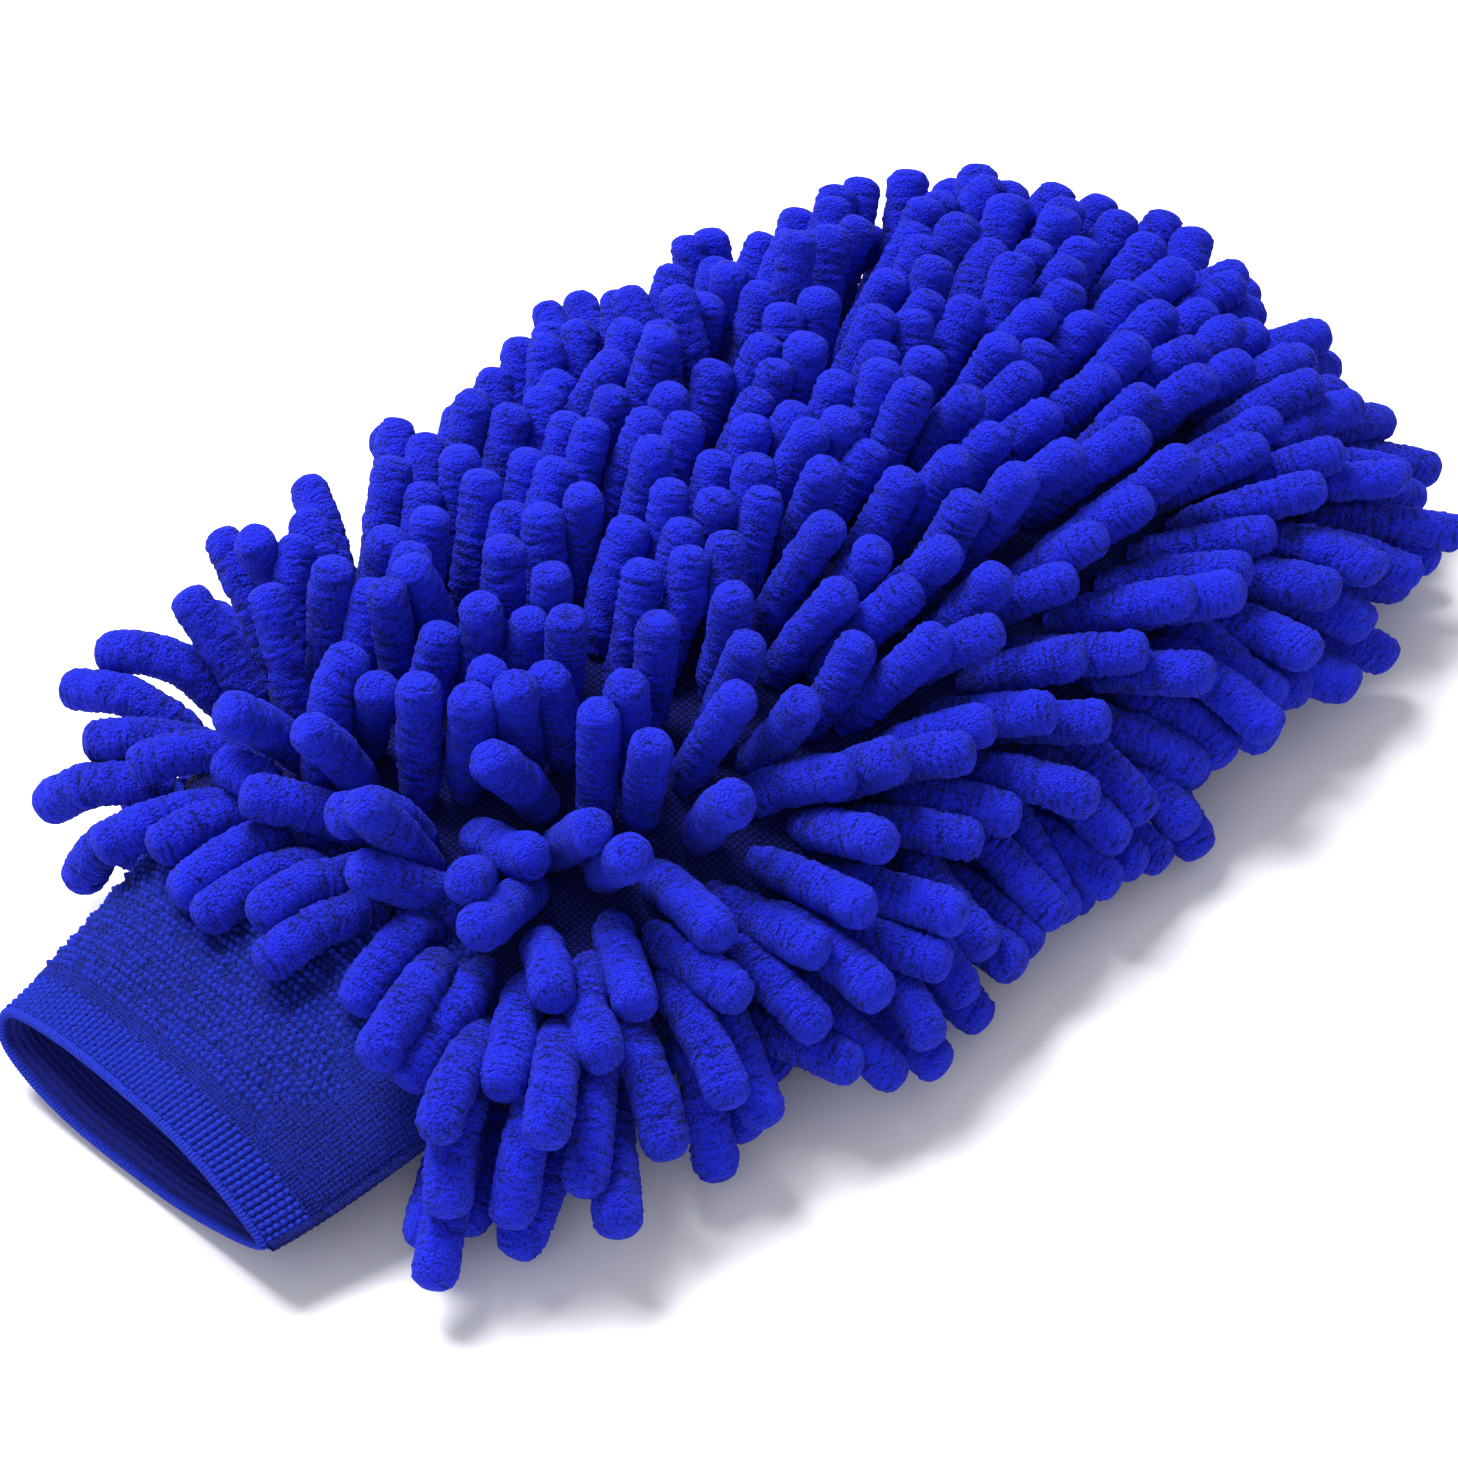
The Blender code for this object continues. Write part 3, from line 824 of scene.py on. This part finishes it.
def cuff_grid(stations, insets, columns):
    """The cuff's surface as (station, around) points."""
    shares = (np.arange(columns) + 0.5) / columns
    points = np.zeros((len(stations), columns, 3))
    for k, (y, inset) in enumerate(zip(stations, insets)):
        x, z = cuff_section(y, inset, shares)
        points[k, :, 0] = x
        points[k, :, 1] = y - slack_lip(x, z, y)
        points[k, :, 2] = centre_height(y) + z + cuff_wave(shares, y)
    return points


def raise_grid(points, relief):
    """Moves a closed grid of points outward by the relief."""
    normals = grid_normals(points, closed=True)
    centre = points.mean(axis=1, keepdims=True)
    inward = ((points - centre) * normals).sum() < 0
    return points + (-normals if inward else normals) * relief[..., None]


def knit_nubs(a, b, stagger=0.5):
    """Rounded purl stitches in staggered courses, from 0 between them to 1 on top of each."""
    course = np.floor(b).astype(int)
    shifted = a + stagger * (course % 2)
    wale = np.floor(shifted).astype(int)
    fullness = rng.uniform(0.25, 1.2, (400, 400))[course % 400, wale % 400]
    across = np.abs(np.sin(np.pi * shifted))
    along = np.abs(np.sin(np.pi * b))
    return fullness * across**0.8 * along**0.8


def cuff_piece(name, points, material, replaced, shade_and_tone=None, closed_rows=False):
    rows, columns = points.shape[:2]
    quads = grid_quads(rows, columns, closed_rows=closed_rows, closed_columns=True)
    # The attribute is painted shade: low, and so darker, between the stitches; where none is given it is an
    # even 0.5.
    if shade_and_tone is None:
        shade_and_tone = np.full((rows, columns), 0.5)
    shade_and_tone = np.broadcast_to(shade_and_tone, (rows, columns))
    mesh_piece(name, points.reshape(-1, 3), [quads], material, replaced, shade_and_tone)


def make_outer_knit(material):
    rows, columns = ((160, 600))
    stations = np.linspace(BAND_HIGH.y - 0.3 * MM, CUFF_SEAM_Y + 1.5 * MM, rows)
    points = cuff_grid(stations, np.full(rows, 0.1 * MM), columns)
    shares = ((np.arange(columns) + 0.5) / columns)[None, :]
    y = stations[:, None] + 0 * shares
    from_band = y - BAND_HIGH.y
    nubs = knit_nubs(shares * NUBS_AROUND + 0.3 * np.sin(y * 900), from_band / NUB_PITCH)
    plain = np.abs(np.sin(np.pi * shares * PLAIN_WALES)) * 0.5
    plain = plain + 0.2 * np.sin(2 * np.pi * from_band / (0.9 * MM))
    corner = np.minimum(shares, 1 - shares)
    towards_plain = smooth((0.13 - corner + 0.02 * np.sin(y * 400)) / 0.05)
    band = 1 - smooth((from_band - WELT) / (0.8 * MM))
    fine = np.abs(np.sin(np.pi * shares * FINE_WALES)) * 0.6
    welt = fine * (0.6 + 0.4 * np.sin(2 * np.pi * from_band / (0.8 * MM)))
    relief = mix(nubs, plain * 0.55, towards_plain)
    relief = mix(relief, welt, band)
    points = raise_grid(points, relief * NUB_HEIGHT)
    # Its relief also goes to the colour as painted shade, darker between the stitches.
    cuff_piece("cuff_knit_outer", points, material, ["cuff_outer_knit"], relief)


def make_rib_band(material):
    rows, columns = ((46, 1000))
    stations = np.linspace(BAND_LOW.y - 0.6 * MM, BAND_HIGH.y + 0.2 * MM, rows)
    points = cuff_grid(stations, np.full(rows, 0.5 * MM), columns)
    shares = ((np.arange(columns) + 0.5) / columns)[None, :]
    along = (stations[:, None] - stations[0]) / RIB_PITCH
    ribs = np.abs(np.sin(np.pi * shares * RIBS_AROUND)) ** 0.7
    stagger = 0.5 * (np.floor(shares * RIBS_AROUND) % 2)
    nubs = 0.3 + 0.7 * np.abs(np.sin(np.pi * (along + stagger))) ** 0.7
    relief = ribs * nubs
    points = raise_grid(points, relief * RIB_HEIGHT)
    # Its relief also goes to the colour as painted shade, darker between the ribs' stitches.
    cuff_piece("cuff_rib_band_knit", points, material, ["cuff_rib_band"], relief)


def make_rolled_rim(material):
    columns = 1200
    section = 14
    turn = np.linspace(0, 2 * np.pi, section, endpoint=False)
    thick = (RIM_HIGH.y - RIM_LOW.y) / 2
    stations = RIM_LOW.y + thick - thick * np.cos(turn)
    insets = 0.85 * MM + 0.95 * MM * np.sin(turn)
    points = cuff_grid(stations, insets, columns)
    middle = points.mean(axis=0, keepdims=True)
    shares = (np.arange(columns) + 0.5) / columns
    stitch = np.abs(np.sin(np.pi * (shares[None, :] * RIM_STITCHES + turn[:, None] / 9))) ** 0.6
    points = middle + (points - middle) * (0.86 + 0.26 * stitch[..., None])
    # Its stitches also go to the colour as painted shade, darker between them.
    cuff_piece("cuff_rolled_rim", points, material, ["cuff_rolled_edge"], stitch, True)


def make_inner_layer(material):
    rows, columns = ((210, 340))
    stations = np.linspace(RIM_LOW.y + 0.7 * MM, LAYER_HIGH.y, rows)
    into = (stations - stations[0]) / (4 * MM)
    insets = mix(1.5 * MM, 3.2 * MM, smooth(into))
    points = cuff_grid(stations, insets, columns)
    shares = ((np.arange(columns) + 0.5) / columns)[None, :]
    along = (stations[:, None] - stations[0]) / INNER_PITCH
    courses = np.abs(np.sin(np.pi * along + 0.2 * np.sin(shares * 40))) ** 0.7
    wales = 0.75 + 0.25 * np.sin(2 * np.pi * shares * 130)
    points = raise_grid(points, -courses * wales * 0.32 * MM)
    # Its courses also go to the colour as painted shade, darker between them.
    cuff_piece("cuff_lining_knit", points, material, ["cuff_inner_layer"], courses)


def make_elastic(material):
    rows, columns = 16, 400
    turn = np.linspace(0, 2 * np.pi, rows, endpoint=False)
    middle = (ELASTIC_LOW.y + ELASTIC_HIGH.y) / 2
    stations = middle - (ELASTIC_HIGH.y - ELASTIC_LOW.y) / 2 * np.cos(turn)
    insets = 2.3 * MM + 0.38 * MM * np.sin(turn)
    points = cuff_grid(stations, insets, columns)
    cuff_piece("cuff_elastic", points, material, ["cuff_elastic_band"], closed_rows=True)


def make_join_seam(material):
    rows, columns = 10, 500
    turn = np.linspace(0, 2 * np.pi, rows, endpoint=False)
    stations = CUFF_SEAM_Y - 1.3 * MM - 0.9 * MM * np.cos(turn)
    insets = 2.4 * MM + 0.45 * MM * np.sin(turn)
    points = cuff_grid(stations, insets, columns)
    middle = points.mean(axis=0, keepdims=True)
    shares = (np.arange(columns) + 0.5) / columns
    stitch = np.abs(np.sin(np.pi * shares * JOIN_STITCHES))[None, :, None]
    points = middle + (points - middle) * (0.8 + 0.35 * stitch)
    cuff_piece("cuff_join_overlock", points, material, ["cuff_join_seam"], closed_rows=True)


def make_side_seam(material):
    """The flat welt along the cuff's pinched side."""
    rows, columns = ((200, 12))
    stations = np.linspace(RIM_LOW.y + 1.2 * MM, CUFF_SEAM_Y - 2 * MM, rows)
    turn = np.linspace(0, 2 * np.pi, columns, endpoint=False)
    stitch = np.abs(np.sin(np.pi * stations / (1.3 * MM))) ** 0.6
    points = np.zeros((rows, columns, 3))
    reach = mix(0.8, 1.0, stitch)[:, None] * 1.2 * MM
    points[..., 0] = cuff_half_width(stations)[:, None] + 0.5 * MM + reach * np.cos(turn)
    points[..., 1] = stations[:, None]
    points[..., 2] = centre_height(stations)[:, None] + 0.55 * reach * np.sin(turn)
    quads = grid_quads(rows, columns, closed_columns=True)
    flat = points.reshape(-1, 3)
    mesh_piece("cuff_side_welt", flat, [quads], material, ["cuff_side_seam"])


# Materials


def add(tree, kind, inputs=None, **settings):
    made = tree.nodes.new(kind)
    for name, value in settings.items():
        setattr(made, name, value)
    for name, value in (inputs or {}).items():
        if isinstance(value, bpy.types.NodeSocket):
            tree.links.new(value, made.inputs[name])
        else:
            made.inputs[name].default_value = value
    return made


def math_node(tree, operation, first, second):
    made = add(tree, "ShaderNodeMath", {0: first, 1: second}, operation=operation)
    return made.outputs[0]


def crease_height(tree, place):
    """Partial creases across each finger, from its length attribute."""
    length = add(tree, "ShaderNodeAttribute", attribute_name="length").outputs["Fac"]
    waver = add(tree, "ShaderNodeTexNoise", {"Vector": place, "Scale": 260.0, "Detail": 1.0}).outputs["Fac"]
    patch = add(tree, "ShaderNodeTexNoise", {"Vector": place, "Scale": 170.0, "Detail": 1.0}).outputs["Fac"]
    turns = math_node(tree, "MULTIPLY", length, 2 * math.pi / CREASE_PITCH)
    phase = math_node(tree, "ADD", turns, math_node(tree, "MULTIPLY", waver, 9.0))
    wave = math_node(tree, "MAXIMUM", math_node(tree, "SINE", phase, 0.0), 0.0)
    narrow = math_node(tree, "POWER", wave, 3.0)
    share = math_node(tree, "MAXIMUM", math_node(tree, "SUBTRACT", patch, 0.36), 0.0)
    return math_node(tree, "MULTIPLY", narrow, math_node(tree, "MULTIPLY", share, 1.2))


def weave_height(tree, place, pitch):
    """An open knit's net: high where its lines and rungs cross."""
    settings = {"Vector": place, "Scale": 0.314 / pitch, "Distortion": 2.0}
    lines = add(tree, "ShaderNodeTexWave", settings, bands_direction="X")
    rungs = add(tree, "ShaderNodeTexWave", settings, bands_direction="Y")
    net = math_node(tree, "MULTIPLY", lines.outputs["Fac"], rungs.outputs["Fac"])
    return math_node(tree, "MULTIPLY", net, 1.2)


def shade_of(tree, place, height, shade_and_tone_share):
    """How far a point's colour lies from the dark to the light one: painted shade, darker where the height
    is low and where the piece's painted-shade attribute is low, plus a broad random tone.
    """
    broad = add(tree, "ShaderNodeTexNoise", {"Vector": place, "Scale": 45.0, "Detail": 2.0})
    shade = math_node(tree, "MULTIPLY_ADD", height, 1.15)
    shade.node.inputs[2].default_value = 0.42
    shade = math_node(tree, "ADD", shade, math_node(tree, "MULTIPLY", broad.outputs["Fac"], 0.25))
    if not shade_and_tone_share:
        return shade
    shade_and_tone = add(tree, "ShaderNodeAttribute", attribute_name="shade_and_tone").outputs["Fac"]
    raised = math_node(tree, "MULTIPLY_ADD", shade_and_tone, shade_and_tone_share)
    raised.node.inputs[2].default_value = 0.25 * (0.5 - shade_and_tone_share)
    return math_node(tree, "ADD", shade, raised)


def fabric(name, dark, light, grain, relief, sheen, rough=0.9, shade_and_tone_share=0, weave=0, creased=False):
    """A textile: its fibres' size (grain), its bump's depth (relief) and its open knit's pitch (weave).

    Each piece's attribute of painted shade, weighted by its share, shifts its colour; where creased, its
    length adds creases, which also paint shade into the colour. The bump's height sets the colour too:
    painted shade, darker in the hollows.
    """
    material = bpy.data.materials.new(name)
    material.use_nodes = True
    tree = material.node_tree
    shader = tree.nodes["Principled BSDF"]
    place = add(tree, "ShaderNodeTexCoord").outputs["Object"]
    pile = {"Vector": place, "Scale": 2.2 / grain, "Detail": 3.0, "Roughness": 0.6}
    fine = add(tree, "ShaderNodeTexNoise", pile).outputs["Fac"]
    tufts = add(tree, "ShaderNodeTexVoronoi", {"Vector": place, "Scale": 1 / grain}, feature="F1")
    rough_pile = math_node(tree, "MULTIPLY", fine, 0.8)
    height = math_node(tree, "SUBTRACT", rough_pile, tufts.outputs["Distance"])
    if creased:
        height = math_node(tree, "SUBTRACT", height, crease_height(tree, place))
    if weave:
        sunken = math_node(tree, "SUBTRACT", height, 0.5)
        height = math_node(tree, "ADD", weave_height(tree, place, weave), sunken)
    # The colour runs from dark to light with the height: painted shade, darker in the hollows and the
    # creases.
    ramp = add(tree, "ShaderNodeValToRGB", {"Fac": shade_of(tree, place, height, shade_and_tone_share)})
    ramp.color_ramp.elements[0].position = 0.2
    ramp.color_ramp.elements[0].color = (*dark, 1)
    ramp.color_ramp.elements[1].position = 1.0
    ramp.color_ramp.elements[1].color = (*light, 1)
    tree.links.new(ramp.outputs["Color"], shader.inputs["Base Color"])
    spread = {"Value": fine, "To Min": rough - 0.1, "To Max": rough + 0.08}
    roughness = add(tree, "ShaderNodeMapRange", spread)
    tree.links.new(roughness.outputs["Result"], shader.inputs["Roughness"])
    bump = add(tree, "ShaderNodeBump", {"Height": height, "Strength": 1.0, "Distance": relief})
    tree.links.new(bump.outputs["Normal"], shader.inputs["Normal"])
    shader.inputs["Sheen Weight"].default_value = sheen
    shader.inputs["Sheen Roughness"].default_value = 0.35
    shader.inputs["Sheen Tint"].default_value = (0.28, 0.46, 1.0, 1.0)
    shader.inputs["Specular IOR Level"].default_value = 0.15
    return material


# Stage


def make_floor():
    mesh = bpy.data.meshes.new("floor")
    points = [(math.cos(k * math.pi / 24) * 3, math.sin(k * math.pi / 24) * 3, 0) for k in range(48)]
    mesh.from_pydata(points, [], [list(range(48))])
    material = bpy.data.materials.new("floor_paper")
    material.use_nodes = True
    shader = material.node_tree.nodes["Principled BSDF"]
    shader.inputs["Base Color"].default_value = (0.92, 0.92, 0.93, 1)
    shader.inputs["Roughness"].default_value = 0.8
    mesh.materials.append(material)
    floor = bpy.data.objects.new("floor", mesh)
    bpy.context.scene.collection.objects.link(floor)


def make_lights():
    world = bpy.data.worlds.new("studio")
    world.use_nodes = True
    background = world.node_tree.nodes["Background"]
    background.inputs["Color"].default_value = (1, 1, 1, 1)
    background.inputs["Strength"].default_value = WORLD_STRENGTH
    bpy.context.scene.world = world
    for name, at, size, power in LIGHTS:
        light = bpy.data.lights.new(name, "AREA")
        light.size = size
        light.energy = power
        obj = bpy.data.objects.new(name, light)
        obj.location = at
        obj.rotation_euler = (-Vector(at)).to_track_quat("-Z", "Y").to_euler()
        bpy.context.scene.collection.objects.link(obj)


def make_camera():
    azimuth = math.radians(CAMERA_AZIMUTH)
    elevation = math.radians(CAMERA_ELEVATION)
    roll = math.radians(CAMERA_ROLL)
    flat = math.cos(elevation)
    back = Vector((math.sin(azimuth) * flat, -math.cos(azimuth) * flat, math.sin(elevation)))
    right = Vector((math.cos(azimuth), math.sin(azimuth), 0))
    up = back.cross(right)
    turned = math.cos(roll) * right + math.sin(roll) * up
    upright = math.cos(roll) * up - math.sin(roll) * right
    data = bpy.data.cameras.new("camera")
    data.lens = CAMERA_LENS
    data.sensor_width = 36
    data.clip_start = 0.01
    camera = bpy.data.objects.new("camera", data)
    bpy.context.scene.collection.objects.link(camera)
    place = Matrix((turned, upright, back)).transposed().to_4x4()
    place.translation = Vector(CAMERA_TARGET) + back * CAMERA_DISTANCE
    camera.matrix_world = place
    bpy.context.scene.camera = camera


def main():
    fabrics = {name: fabric(name, **looks) for name, looks in FABRICS.items()}
    bpy.context.scene.view_settings.view_transform = "Standard"
    make_camera()
    make_lights()
    make_floor()
    for place, side in SIDES.items():
        make_backing(place, side, fabrics["knit_backing"])
        make_lining(place, side, fabrics["lining_mesh"])
    make_seams(fabrics["seam_thread"])
    make_outer_knit(fabrics["cuff_knit"])
    make_rib_band(fabrics["cuff_knit"])
    make_rolled_rim(fabrics["cuff_knit"])
    make_inner_layer(fabrics["cuff_inner"])
    make_elastic(fabrics["elastic"])
    make_join_seam(fabrics["seam_thread"])
    make_side_seam(fabrics["cuff_knit"])
    make_chenille(fabrics["chenille"])


main()
